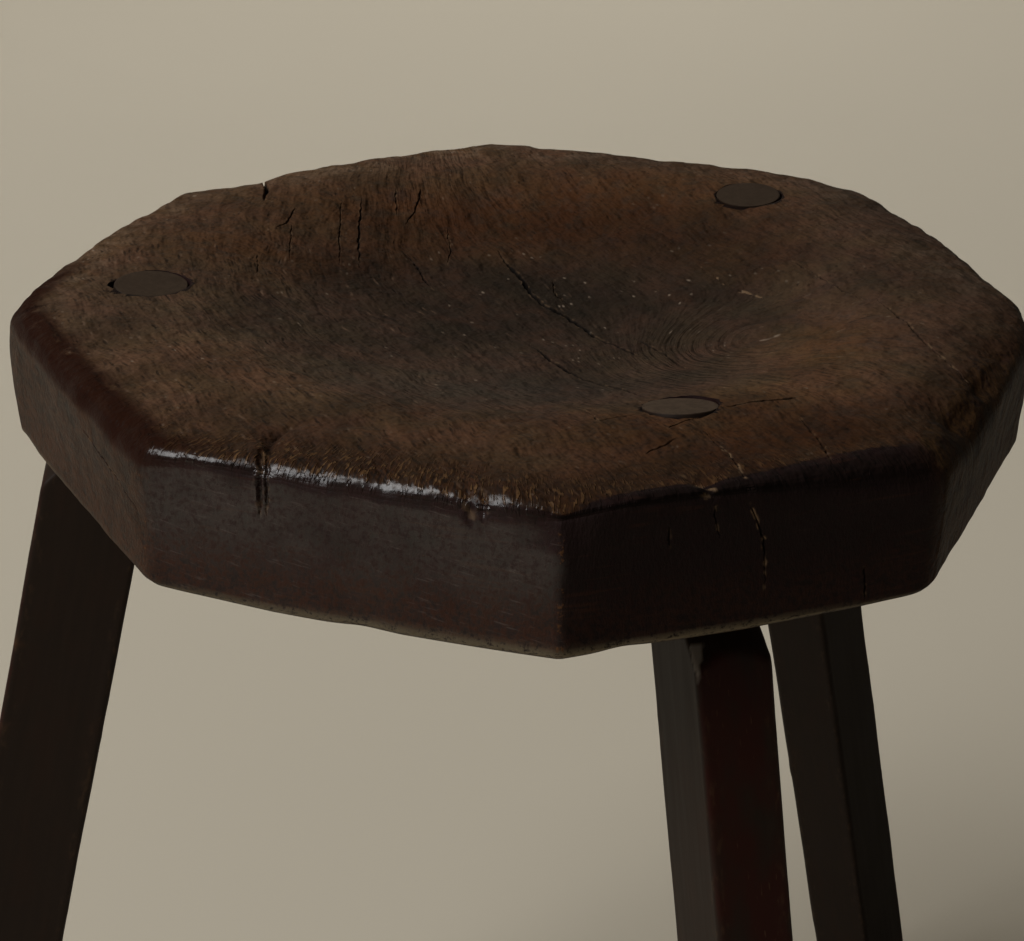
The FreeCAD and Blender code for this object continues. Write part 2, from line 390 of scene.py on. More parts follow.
# splits, checks and nicks: half width, depth and darkness, which is painted shade inside, then the points
cracks = [
    newCrack(0.75, 4.5, 0.95, (-109, 152), (-103, 136), (-101, 124), (-101, 112), start=1),
    newCrack(0.6, 3.0, 0.8, (-109, 152), (-112, 158, -4), (-110, 160, -18), (-113, 156, -34), start=1),
    newCrack(0.3, 1.0, 0.6, (-88, 107), (-91, 91), (-94, 86)),
    newCrack(0.25, 0.9, 0.6, (-71, 119), (-70, 94), (-69, 66)),
    newCrack(0.31, 1.2, 0.8, (-63, 123), (-63, 96), (-61, 65)),
    newCrack(0.26, 0.8, 0.5, (-50, 132), (-49, 113)),
    newCrack(0.3, 1.0, 0.6, (-40, 134), (-42, 117), (-45, 106)),
    newCrack(0.21, 0.7, 0.45, (-89, 92), (-87, 60)),
    newCrack(0.21, 0.7, 0.45, (-99, 60), (-97, 39)),
    newCrack(0.21, 0.7, 0.45, (-29, 108), (-27, 88), (-28, 76)),
    newCrack(0.29, 1.2, 0.8, (-46, 86), (-39, 71), (-33, 52)),
    newCrack(0.58, 2.0, 1.0, (-9, 88), (-1, 67), (8, 41), (17, 28), (26, 10), (38, -12), (47, -28)),
    newCrack(0.18, 0.7, 0.4, (12, 62), (13, 48), (18, 38)),
    newCrack(0.36, 1.3, 0.7, (41, 4), (48, -12), (58, -39)),
    newCrack(0.64, 2.2, 1.0, (3, 1), (11, -18), (22, -40), (32, -54), (44, -76)),
    newCrack(0.39, 0.9, 0.15, (67, 63), (73, 50), (79, 37), (84, 32), (89, 26), pale=1.0),
    newCrack(0.25, 0.9, 0.5, (18, -84), (25, -104), (33, -101), (42, -95)),
    newCrack(0.26, 1.0, 0.6, (46, -112), (54, -104), (61, -101)),
    newCrack(0.26, 1.0, 0.6, (39, -130), (46, -123), (50, -118)),
    newCrack(0.36, 1.4, 0.85, (64, -94), (73, -90), (82, -88), (94, -84)),
    newCrack(0.24, 0.9, 0.6, (58, -113), (62, -125), (66, -137), (68, -147, -2), (70, -151, -9),
             (74, -149, -20), (75, -148, -40), pale=1.0),
    newCrack(0.31, 1.2, 0.5, (89, -101), (92, -114), (95, -130), (96, -138, -2)),
    newCrack(0.36, 1.2, 0.6, (127, 6), (134, -20), (139, -41), (145, -57), (151, -72), pale=0.6),
    newCrack(0.28, 0.9, 0.5, (100, 58), (112, 30), (122, 8)),
    newCrack(0.21, 0.9, 0.5, (58, -154, -6), (58, -154, -9), (60, -153, -17)),
    newCrack(1.5, 1.0, 0.0, (49, -146), (54, -150, -2), (58, -153, -6), pale=1.0),
    newCrack(0.21, 0.8, 0.5, (45, -159, -11), (45, -158, -19)),
    newCrack(0.26, 1.2, 0.6, (107, -139, -35), (108, -138, -47)),
    newCrack(0.9, 1.6, 0.3, (-81, -126, 0), (-80, -135, -3), (-80, -136, -18)),
    newCrack(0.6, 1.0, 0.25, (-79, -129, 0), (-78, -137, -3), (-78, -137, -17)),
    newCrack(1.2, 1.0, 0.15, (-17, -153, 0), (-16, -158, -3), (-15, -159, -11)),
    newCrack(1.0, 0.8, 0.12, (-12, -154, 0), (-11, -159, -3), (-11, -160, -9)),
    newCrack(0.25, 1.1, 0.6, (-146, -76, -16), (-133, -101, -20), (-122, -119, -25)),
    newCrack(0.35, 2.0, 0.8, (-66, 174, -2), (-66, 178, -4), (-62, 180, -20), (-64, 180, -40)),
    newCrack(0.23, 1.2, 0.6, (-30, 187, -10), (-28, 187, -30)),
    newCrack(0.23, 1.0, 0.6, (178, 40, -6), (180, 30, -22), (178, 20, -34)),
    newCrack(2.6, 0.8, 0.2, (166, -40, -5), (154, -64, -6), (143, -88, -6), (136, -104, -6), pale=0),
]

# chips, wear and hollows: middle, how far they reach, how deep; a swelling has a depth below zero
dents = [
    ((-122, 146, -2), 24, 4.2),  # low stretch of rim beside the notch
    ((-107, 152, -1), 8, 5.0),
    ((-116, 148, -1), 11, 3.2),
    ((-22, 163, 0), 14, 1.6),
    ((10, 186, 0), 8, 1.3),
    ((38, 178, 0), 6, 1.2),
    ((60, 170, 0), 5, 1.2),
    ((132, 139, -2), 18, 2.4),
    ((-80, -135, -1), 6, 0.9),
    ((-13, -158, -1), 5, 0.6),
    ((56, -150, -1), 6, 2.0),
    ((-183, 3, 0), 14, 3.2),
    ((-186, -2, -32), 26, -1.1),
    ((-160, -62, -2), 9, 2.0),
    ((-146, -82, -2), 12, 2.2),
    ((-133, -103, -2), 8, 1.6),
    ((142, -94, -2), 15, 4.6),  # broken arris at the right front corner
    ((154, -66, -3), 9, 3.0),
    ((163, -42, -2), 8, 2.0),
    ((131, -131, -2), 11, 2.4),
    ((12, -169, -2), 15, 4.2),  # front corner worn round at the top
    ((12, -170, -32), 8, 1.0),
    ((-120, -122, -28), 9, 0.8),
    ((180, -9, -2), 14, 2.6),
    ((30, -156, -50), 10, 1.0),
    ((-50, -148, -50), 12, 0.8),
]

knots = [  # a ring round each, deepest at its end, with painted shade in it
    {"at": (-61, -122), "reach": 17.5, "half": 1.9, "deep": 2.6, "dark": 0.5, "from": 50, "to": 205},
]

# upright corners rubbed down to the bare wood
wornCorners = [
    {"line": [(12, -169, -10), (12, -169, -50)], "reach": 2.1, "share": 0.72},
    {"line": [(-119, -122, 0), (-119, -121, -48)], "reach": 5.0, "share": 0.55},
]


def crackLine(crack):  # points without a height lie on the worn top
    return np.array([onTop([p])[0] if len(p) == 2 else np.array(p, float) for p in crack["line"]])


def buildPlank():
    count = plank["columns"]
    fullTurn = np.arange(count) * 2 * math.pi / count
    points, rings, addRing = ringMaker()

    def arrisRound(angle):
        spot = np.column_stack([np.cos(angle), np.sin(angle), np.zeros(len(angle))]) * 180
        return roundTable(plank["arris"], angle) * (1 + lumps(spot, *plank["arrisUneven"]))

    def thin(share):  # fewer columns towards the middle
        return 4 if share < 0.25 else 2 if share < 0.52 else 1

    addRing(np.zeros(1), np.zeros(1), topHeight(np.zeros(1), np.zeros(1)))
    for row in range(1, plank["topRows"] + 1):
        share = row / plank["topRows"]
        angle = fullTurn[::thin(share)]
        r = share * (edgeReach(angle) - arrisRound(angle))
        x, y = r * np.cos(angle), r * np.sin(angle)
        addRing(x, y, topHeight(x, y))
    reach, rounding = edgeReach(fullTurn), arrisRound(fullTurn)
    x, y = (reach - rounding) * np.cos(fullTurn), (reach - rounding) * np.sin(fullTurn)
    edgeTop = topHeight(x, y)
    lean = np.tan(np.radians(perSide(plank["lean"], fullTurn)))
    sag = roundTable(plank["sag"], fullTurn)

    def addAt(r, z):
        addRing(r * np.cos(fullTurn), r * np.sin(fullTurn), z)

    for row in range(1, plank["arrisRows"] + 1):
        turn = row / plank["arrisRows"] * math.pi / 2
        addAt(reach - rounding * (1 - math.sin(turn)), edgeTop - rounding * (1 - math.cos(turn)))
    high = edgeTop - rounding
    low = -(plank["thickness"] - plank["chamfer"]) - sag
    for row in range(1, plank["sideRows"] + 1):
        z = high + (low - high) * row / plank["sideRows"]
        addAt(reach + (z - high) * lean, z)
    foot = reach + (low - high) * lean
    for row in (1, 2):
        addAt(foot - plank["chamfer"] * row / 2, low - plank["chamfer"] * row / 2)
    flat = foot - plank["chamfer"]
    for row in range(1, plank["underRows"]):
        share = 1 - row / plank["underRows"]
        step = thin(share)
        angle = fullTurn[::step]
        r = flat[::step] * share
        addRing(r * np.cos(angle), r * np.sin(angle), -plank["thickness"] - sag[::step] * share ** 3)
    addRing(np.zeros(1), np.zeros(1), -plank["thickness"])
    return newPiece("seatPlank", np.array(points), ringFaces(rings))


def aroundLine(points, line):
    return np.flatnonzero(np.all((points > line.min(0) - nearby) & (points < line.max(0) + nearby), axis=1))


# each round's margin, and the half widths it is for: hair checks and wide nicks need fewer rounds
refining = [(2.2, 0, 9), (1.3, 0, 1.0), (0.7, 0.2, 0.7)]


def refineAtCracks(piece):  # smaller faces where the splits run
    mesh = piece.data
    for margin, least, most in refining:
        work = bmesh.new()
        work.from_mesh(mesh)
        work.edges.ensure_lookup_table()
        middles = np.array([(e.verts[0].co + e.verts[1].co) / 2 for e in work.edges])
        slopes = np.array([(e.verts[0].normal + e.verts[1].normal) / 2 for e in work.edges])
        pick = np.zeros(len(middles), bool)
        for crack in cracks:
            if not least <= crack["half"] <= most:
                continue
            line = crackLine(crack)
            near = aroundLine(middles, line)
            if len(near):
                gap, _ = nearLine(middles[near], line, slopes[near])
                pick[near[gap < crack["half"] + margin]] = True
        chosen = [work.edges[i] for i in np.flatnonzero(pick)]
        bmesh.ops.subdivide_edges(work, edges=chosen, cuts=1, use_grid_fill=True)
        work.to_mesh(mesh)
        work.free()
    mesh.update()


relief = {  # how rough each side and its top edge were left
    "sides": [0.7, 1.3, 1.8, 2.0, 2.0, 2.0, 0.9, 0.5],
    "edges": [0.5, 0.9, 1.0, 0.9, 1.0, 0.8, 0.3, 0.3],
    "waves": [0.4, 0.6, 0.6, 0.6, 0.6, 0.6, 0.6, 1.15],
    "topLumps": [(0.9, 30, 21), (0.65, 13, 22), (0.2, 6, 28)],  # height, size and seed of each
    "sideLumps": [(0.42, 26, 23), (0.22, 7, 24)],
    "underLumps": [(0.25, 24, 25)],
    "waveLumps": [(0.6, 21, 26)],
    "edgeLumps": [(0.3, 10, 29), (0.35, 4.5, 27)],
    "ridgeSize": (4.5, 55, 12),  # across the grain, along it and in height
    "ridgeHeight": (0.10, 0.20),  # all over, and added towards the left
    "wander": [(0.7, 9.0, 41), (0.5, 2.4, 51)],  # how cracks stray from their lines
    "crackOpens": 0.2,  # share of a crack's length in which it opens, and in which it closes
    "crackCloses": 0.3,
    "thinnest": 0.12,
}


def wornRelief(base, at):  # hewn marks, wear and chips, as heights over the plain shape
    x, _, z = base.T
    angle, inset, up, under = at["angle"], at["inset"], at["up"], at["under"]
    side = np.clip(1 - up - under, 0, 1)
    leftSide = easeStep(30, -110, x)
    ridges = latticeNoise(np.column_stack([at["across"], at["along"], z]) / relief["ridgeSize"], 1.0, 11)
    ridgeHeight, ridgeLeft = relief["ridgeHeight"]
    height = up * (lumps(base, *relief["topLumps"]) + ridges * (ridgeHeight + ridgeLeft * leftSide))
    height += side * perSide(relief["sides"], angle) * lumps(base, *relief["sideLumps"])
    height += under * lumps(base, *relief["underLumps"])
    arris = bell(inset, 3.0, 5.0) * (z > -14)
    height += arris * perSide(relief["waves"], angle) * lumps(base, *relief["waveLumps"])
    height += arris * perSide(relief["edges"], angle) * lumps(base, *relief["edgeLumps"])
    for spot, reach, deep in dents:
        gap = np.linalg.norm(base - spot, axis=1) / reach
        gap = gap * (1 + 0.25 * latticeNoise(base, reach * 0.7, 31))
        height -= deep * np.exp(-2.2 * gap ** 2)
    return height


def cutKnots(base, up, height, split):
    for knot in knots:
        dx, dy = base[:, 0] - knot["at"][0], base[:, 1] - knot["at"][1]
        way = np.degrees(np.arctan2(dy, dx)) % 360
        begun = easeStep(knot["from"] - 15, knot["from"] + 15, way)
        ended = easeStep(knot["to"] - 15, knot["to"] + 15, way)
        gap = np.abs(np.hypot(dx, dy) - knot["reach"]) / knot["half"]
        deeper = 0.3 + 0.7 * easeStep(knot["to"] - 90, knot["to"] - 35, way)
        groove = up * begun * (1 - ended) * deeper * np.exp(-gap ** 2)
        height -= knot["deep"] * groove
        # painted shade in the knot's ring
        np.maximum(split, knot["dark"] * groove, out=split)


def cutCracks(base, normal, height, split, flecks):  # painted shade inside, with pale flecks beside them
    wandered = base.copy()
    for axis in range(3):
        rows = [(far, size, seed + axis) for far, size, seed in relief["wander"]]
        wandered[:, axis] += lumps(base, *rows)
    for crack in cracks:
        line = crackLine(crack)
        near = aroundLine(base, line)
        gap, share = nearLine(wandered[near], line, normal[near])
        begun = np.minimum(share / relief["crackOpens"] + crack["start"], 1)
        taper = begun * np.minimum((1 - share) / relief["crackCloses"] + 0.2, 1)
        half = crack["half"] * taper * (1 + 0.45 * latticeNoise(base[near], 6.0, 45))
        half = np.maximum(half, relief["thinnest"])
        height[near] -= crack["deep"] * taper * np.clip(1 - (gap / (half * 1.25)) ** 2, 0, 1)
        broken = np.clip(0.95 + 0.5 * latticeNoise(base[near], 3.6, 46), 0.55, 1)
        # painted shade inside the crack
        stainAndShade = crack["dark"] * taper ** 0.5 * broken * easeStep(half * 1.5 + 0.2, half * 0.5, gap)
        split[near] = np.maximum(split[near], stainAndShade)
        pale = crack["pale"] * taper ** 0.5 * easeStep(half * 2.0 + 0.55, half * 1.1, gap)
        pale *= easeStep(0.05, 0.4, latticeNoise(base[near], 2.8, 47))
        flecks[near] = np.maximum(flecks[near], pale)


def carvePlank(piece):  # all relief together, and the numbers that the finish reads
    mesh = piece.data
    base, normal = getPoints(mesh), getNormals(mesh)
    x, y, _ = base.T
    angle = np.arctan2(y, x)
    at = {
        "angle": angle,
        "inset": edgeReach(angle) - np.hypot(x, y),
        "up": easeStep(0.35, 0.8, normal[:, 2]),
        "under": easeStep(0.35, 0.8, -normal[:, 2]),
        "across": acrossGrain(base),
        "along": alongGrain(base),
    }
    height = wornRelief(base, at)
    split, flecks = np.zeros(len(base)), np.zeros(len(base))
    cutKnots(base, at["up"], height, split)
    cutCracks(base, normal, height, split, flecks)
    setPoints(mesh, base + normal * height[:, None])
    paintPlank(mesh, base, normal, at)
    paint(mesh, "acrossGrain", at["across"])
    paint(mesh, "alongGrain", at["along"])
    paint(mesh, "split", split)
    paint(mesh, "flecks", flecks)


finishMap = {  # how each side was worn: bare, waxed, red on its top edge, or with loose fibres there; and where painted shade, painted light and painted sheen lie on it
    "bare": [0.0, 0.7, 0.7, 0.7, 0.6, 0.7, 0.9, 0.12],
    "waxed": [0.05, 0.0, 0.0, 0.0, 0.0, 0.0, 0.12, 1.0],
    "redEdge": [0.0, 0.3, 0.1, 0.0, 0.0, 0.0, 0.0, 0.0],
    # painted shade on the front right side and a little on its neighbours
    "soot": [0.57, 0.12, 0.1, 0.1, 0.1, 0.1, 0.0, 0.0],
    "coarse": [0.15, 1.0, 0.8, 0.8, 0.8, 0.8, 0.65, 0.0],
    # the next three lie on the rim beside each side: painted shade with some stain, painted light, and
    # painted grey sheen
    "rimShade": [1.0, 1.0, 0.2, 0.0, 0.0, 0.0, 0.0, 0.8],
    "rimLight": [0.0, 0.0, 0.0, 0.2, 0.8, 0.8, 0.3, 0.0],
    "rimGrey": [0.0, 0.2, 0.7, 1.0, 1.0, 0.9, 0.4, 0.0],
    "fibres": [0.4, 0.1, 0.0, 0.0, 0.0, 0.0, 0.35, 1.0],
    "loose": [(0.12, 24, 61), (0.06, 8, 62)],  # lumps in the borders of the patches
    "meanReach": 172.0,  # turns a direction into a length round the edge
    "backWall": (88, 25),  # painted shade on the dish's back wall: distance, width and directions
    "backFrom": (5, 35),
    "backTo": (172, 150),
    "redFrom": (160, 172),  # directions between which the top edge is red
    "redTo": (236, 225),
    "sideShadeFrom": (-86, -76),  # directions between which painted shade, partly a stain, comes over the top edge
    "sideShadeTo": (-8, -30),
    "dull": [(0.75, -88, 6), (0.7, -14, 4)],  # where the shine is worn off: share, place and width
}

# soft patches on the top: share, middle and width to the right, middle and width to the back
zones = {
    "warmth": [
        (1.0, -10, 90, 112, 24), (0.55, 110, 23, -28, 40), (0.35, 70, 45, -92, 14),
        (0.6, 45, 60, 135, 22), (0.7, -105, 40, 64, 18), (0.85, 72, 55, -118, 20),
    ],
    # painted shade, with some stain
    "shadeDarkened": [(0.8, 98, 38, -120, 26), (0.7, 143, 17, -90, 22)],
    # painted grey sheen at the dish's front, where it is seen at a grazing angle
    "dust": [(1.0, -8, 70, -58, 26)],
    # painted grey sheen on the top, and where it is kept off
    "notGreySheen": [(0.8, 20, 65, 50, 38)],
    "greySheen": [(0.7, -120, 45, -8, 45), (0.5, -35, 60, -15, 34), (0.8, 104, 30, 14, 28)],
    # painted light on the lit walls and rim, with wear
    "lightened": [(1.0, -78, 55, -48, 24), (1.0, 98, 28, -34, 26), (0.8, 78, 22, -78, 9)],
}

# ovals in the dish: middle and half width to the right, middle and half width to the back
ovals = {
    "stainAndShade": (-5, 106, 6, 88),
    "core": (12, 88, 38, 56),
    # ring of painted grey sheen round the dish
    "greySheen": (2, 102, -8, 92),
}


def inZone(name, x, y):
    rows = zones[name]
    return sum(share * bell(x, atX, wide) * bell(y, atY, deep) for share, atX, wide, atY, deep in rows)


def inOval(name, x, y):  # 0 in the middle, 1 on the oval
    atX, wide, atY, deep = ovals[name]
    return np.hypot((x - atX) / wide, (y - atY) / deep)


def paintPlank(mesh, base, normal, at):  # where each part of the finish shows
    x, y, z = base.T
    angle, inset, up, under = at["angle"], at["inset"], at["up"], at["under"]
    tilt, degrees = normal[:, 2], np.degrees(angle)
    ragged = angle + np.radians(0.5) * latticeNoise(base, 7, 63)
    loose = 1 + lumps(base, *finishMap["loose"])
    looseInset = inset * loose

    # the top: a stained dish with painted shade on its back wall, among warmer patches, patches of painted
    # grey sheen, and paler patches of painted light with wear
    dishX, dishY = x - dish["middle"][0], y - dish["middle"][1]
    fromDish, dishWay = np.hypot(dishX, dishY), np.degrees(np.arctan2(dishY, dishX))
    backWall = bell(fromDish * loose, *finishMap["backWall"])
    backWall *= easeStep(*finishMap["backFrom"], dishWay) * easeStep(*finishMap["backTo"], dishWay)
    # painted shade, partly a stain, on the rim and the dish's back wall
    shadeDarkened = perSide(finishMap["rimShade"], angle) * easeStep(36, 8, looseInset) + 0.95 * backWall
    shadeDarkened += inZone("shadeDarkened", x, y) + 0.38 * easeStep(-72, -125, y)
    shadeDarkened += 0.35 * easeStep(105, 135, x) * easeStep(-60, 10, y)
    # painted grey sheen
    grey = 0.6 * easeStep(1.04, 0.88, inOval("greySheen", x, y) * loose) * (1 - inZone("notGreySheen", x, y))
    grey += inZone("greySheen", x, y) + 0.7 * easeStep(95, 125, x) * easeStep(-95, -50, y)
    # painted light on the lit walls and rim, with wear
    light = inZone("lightened", x, y)
    light += perSide(finishMap["rimLight"], angle) * easeStep(34, 6, looseInset)
    broad = easeStep(1.1, 0.75, inOval("stainAndShade", x, y) * loose)
    core = easeStep(1.25, 0.3, inOval("core", x, y) * loose)
    fibres = perSide(finishMap["fibres"], angle) * easeStep(27, 5, inset) * easeStep(0.15, 0.6, tilt)
    paint(mesh, "upward", up)
    paint(mesh, "inset", inset)
    paint(mesh, "edgeRun", angle * finishMap["meanReach"])
    paint(mesh, "dishStain", up * (0.42 * broad + 0.58 * core))
    paint(mesh, "shadeDarkened", up * np.clip(shadeDarkened, 0, 1))
    paint(mesh, "greySheen", up * np.clip(grey, 0, 1))
    paint(mesh, "lightened", up * np.clip(light, 0, 1.2))
    paint(mesh, "warmth", up * np.clip(inZone("warmth", x, y), 0, 1))
    # painted grey sheen at the dish's front
    paint(mesh, "dust", up * inZone("dust", x, y))
    # painted grey sheen on the back rim
    paint(mesh, "rimGrey", up * perSide(finishMap["rimGrey"], angle) * easeStep(34, 8, inset))
    paint(mesh, "streaky", easeStep(50, -60, x) * (0.35 + 0.65 * easeStep(110, 40, y)))
    paint(mesh, "swirl", up * swirlShare(base, 30.0))
    paint(mesh, "fibres", fibres)

    # the top edge: painted shade, partly a stain, comes over it at the front right, and it is red at the
    # left
    sideShadeReach = 6 + 8 * easeStep(-70, -50, degrees)
    overEdge = 0.85 * easeStep(sideShadeReach, sideShadeReach * 0.4, looseInset) * easeStep(0.05, 0.35, tilt)
    overEdge *= easeStep(*finishMap["sideShadeFrom"], degrees) * easeStep(*finishMap["sideShadeTo"], degrees)
    edge = np.maximum(easeStep(0.97, 0.8, tilt), easeStep(16, 8, looseInset)) * easeStep(-0.05, 0.25, tilt)
    redSide = easeStep(*finishMap["redFrom"], degrees % 360) * easeStep(*finishMap["redTo"], degrees % 360)
    # where painted shade comes over the edge, the top gives way to the sides' tones
    paint(mesh, "topTone", up * (1 - overEdge))
    paint(mesh, "redEdge", np.maximum(redSide, perSide(finishMap["redEdge"], angle)) * edge * (z > -20))

    # the sides: some bare and coarse, one waxed, with upright corners rubbed pale and a low edge painted
    # pale as floor bounce light
    dull = sum(share * bell(x, middle, width) for share, middle, width in finishMap["dull"])
    dull = np.clip(dull + 0.6 * easeStep(-4, 8, x), 0, 1)
    waxed = perSide(finishMap["waxed"], ragged, 0.015) * (1 - under) * easeStep(0.93, 0.8, tilt)
    bareWood = np.zeros(len(base))
    for corner in wornCorners:
        gap, _ = nearLine(base, corner["line"])
        bareWood = np.maximum(bareWood, corner["share"] * np.exp(-(gap / corner["reach"]) ** 2))
    low = easeStep(-plank["thickness"] + 4.5, -plank["thickness"] + 1.0, z)
    paint(mesh, "bare", perSide(finishMap["bare"], ragged, 0.03))
    # painted shade on the sides, partly a stain where it comes over the top edge
    paint(mesh, "soot", np.maximum(perSide(finishMap["soot"], ragged, 0.015), overEdge))
    paint(mesh, "coarse", perSide(finishMap["coarse"], ragged, 0.05))
    paint(mesh, "waxed", waxed * (1 - dull * easeStep(-13, -5, z)))
    paint(mesh, "bareCorner", bareWood)
    # painted floor bounce light on the low edge
    paint(mesh, "lowEdge", low * easeStep(-0.97, -0.8, tilt))


# a leg: a bar with a shaved neck and a round tenon through the seat
legBar = {
    "inner": -13.0,
    "outer": 26.0,
    "half": 13.0,
    "arris": 1.5,
    "tenon": 12.45,
    "neckAngle": 31.0,
    "hole": 12.52,
    "bore": (16.0, -90.0),  # ends of the mortise cutter
    "boreAround": 96,
    "around": 104,
    "endRings": (0.12, 0.25, 0.4, 0.55, 0.7, 0.82, 0.9, 0.95),  # rings of points on the trimmed end
    "endRound": 0.45,
    "tenonRows": 14,
    "neckStep": 1.3,
    "neckSoft": 0.35,
    "barStep": 2.6,
    "footRings": (0.97, 0.8, 0.5),
    "shaveWay": -27.0,  # a pale facet where the neck was shaved across the arris
    "shaveWide": 5.5,
    "shaveTop": 19.0,
    "shaveLong": 11.5,
}

# place on the seat, lean, turn about its own length, trimmed end and open gaps round the tenon
legs = {
    "leg_left": {
        "at": (-133.5, 18.0), "splay": 13.2, "way": 182.0, "turn": 1.5, "aside": 0.0, "wider": 0.0,
        "end": (0.0, -0.06, 0.02), "thick": 0.6, "gaps": [(0, 2.1, 14), (180, 0.9, 20)], "endPaleAndLit": 0.4,
        "rub": -149.5, "seed": 5,
    },
    "leg_front_right": {
        "at": (51.5, -90.0), "splay": 13.6, "way": -66.5, "turn": -3.0, "aside": 0.7, "wider": 0.3,
        "end": (0.2, 0.02, -0.20), "thick": 0.0, "gaps": [(10, 1.1, 24)], "endPaleAndLit": 1.0, "seed": 6,
    },
    "leg_back_right": {
        "at": (90.0, 117.5), "splay": 14.9, "way": 48.0, "turn": 12.5, "aside": 0.0, "wider": 0.9,
        "end": (0.2, 0.02, 0.05), "thick": 0.0, "gaps": [(-60, 0.8, 30), (-95, 0.5, 26)], "endPaleAndLit": 0.35,
        # painted shade on this leg's face that the back lamp lights
        "dim": 0.75, "seed": 7,
    },
}


def legMatrix(leg):  # the leg's own axes, Z up along it and X the way it leans out
    spot = Vector((leg["at"][0], leg["at"][1], 0))
    turned = Matrix.Rotation(math.radians(leg["way"]), 4, "Z")
    leaning = Matrix.Rotation(math.radians(-leg["splay"]), 4, "Y")
    return Matrix.Translation(spot) @ turned @ leaning


def barSection(leg):  # points round the bar, about the tenon's axis
    inner, outer, r = legBar["inner"], legBar["outer"], legBar["arris"]
    half = legBar["half"] + leg["wider"]
    corners = ((outer - r, half - r), (inner + r, half - r), (inner + r, r - half), (outer - r, r - half))
    outline = []
    for i, (cx, cy) in enumerate(corners):
        for step in range(7):
            turn = math.radians(i * 90 + step * 15)
            outline.append((cx + r * math.cos(turn), cy + r * math.sin(turn) + leg["aside"]))
    closed = np.array(outline + outline[:1])
    run = np.concatenate([[0], np.cumsum(np.linalg.norm(np.diff(closed, axis=0), axis=1))])
    at = np.arange(legBar["around"]) * run[-1] / legBar["around"]
    section = np.column_stack([np.interp(at, run, closed[:, axis]) for axis in (0, 1)])
    turn = math.radians(leg["turn"])
    return section @ np.array([[math.cos(turn), math.sin(turn)], [-math.sin(turn), math.cos(turn)]])


def tenonEnd(leg, matrix, x, y):  # height along the leg at which its end was trimmed flush with the seat
    cx, cy = leg["at"]
    drop, slopeX, slopeY = leg["end"]
    z0 = topHeight(np.array([cx]), np.array([cy]))[0] + drop
    m = np.array(matrix)
    z = np.zeros_like(x)
    for step in range(4):
        wx = m[0, 0] * x + m[0, 1] * y + m[0, 2] * z + m[0, 3]
        wy = m[1, 0] * x + m[1, 1] * y + m[1, 2] * z + m[1, 3]
        aim = z0 + slopeX * (wx - cx) + slopeY * (wy - cy)
        z = (aim - m[2, 3] - m[2, 0] * x - m[2, 1] * y) / m[2, 2]
    return z


def buildLeg(name, leg):
    matrix = legMatrix(leg)
    m = np.array(matrix)
    section = barSection(leg)
    full = np.hypot(section[:, 0], section[:, 1])
    ray = section / full[:, None]
    lean = math.radians(leg["splay"])
    thick = legBar["tenon"] + leg["thick"]
    neckTop = -(plank["thickness"] / math.cos(lean) + legBar["hole"] * math.tan(lean))
    cone = math.tan(math.radians(legBar["neckAngle"]))
    floor = -seatMiddle[2]
    points, rings, addRing = ringMaker()
    centre = np.zeros(1)
    addRing(centre, centre, tenonEnd(leg, matrix, centre, centre))
    for share in legBar["endRings"]:
        x, y = ray[:, 0] * thick * share, ray[:, 1] * thick * share
        addRing(x, y, tenonEnd(leg, matrix, x, y))
    tenonX, tenonY = ray[:, 0] * thick, ray[:, 1] * thick
    top = tenonEnd(leg, matrix, tenonX, tenonY)
    addRing(tenonX * 0.985, tenonY * 0.985, top - 0.05)
    rimZ = top - legBar["endRound"]
    addRing(tenonX, tenonY, rimZ)
    for share in np.linspace(0.06, 1, legBar["tenonRows"]):
        addRing(tenonX, tenonY, rimZ + (neckTop - rimZ) * share)
    neckLength = (np.max(full) - thick) / cone + 2
    neckStep, soft = legBar["neckStep"], legBar["neckSoft"]
    for step in np.arange(1, int(neckLength / neckStep) + 1) * neckStep:
        limit = thick + step * cone
        reach = -soft * np.logaddexp(-full / soft, -limit / soft)
        addRing(ray[:, 0] * reach, ray[:, 1] * reach, np.full(len(full), neckTop - step))
    barTop = neckTop - step
    footZ = (floor - m[2, 0] * section[:, 0] - m[2, 1] * section[:, 1] - m[2, 3]) / m[2, 2]
    rows = int((barTop - footZ.mean()) / legBar["barStep"])
    for row in range(1, rows + 1):
        addRing(section[:, 0], section[:, 1], barTop + (footZ - barTop) * row / rows)
    for share in legBar["footRings"]:
        x, y = section[:, 0] * share, section[:, 1] * share
        addRing(x, y, (floor - m[2, 0] * x - m[2, 1] * y - m[2, 3]) / m[2, 2])
    addRing(centre, centre, np.array([(floor - m[2, 3]) / m[2, 2]]))
    piece = newPiece(name.replace("leg_", "stoolLeg_"), np.array(points), ringFaces(rings[::-1]))
    carveLeg(piece, leg, m, neckTop)
    return piece


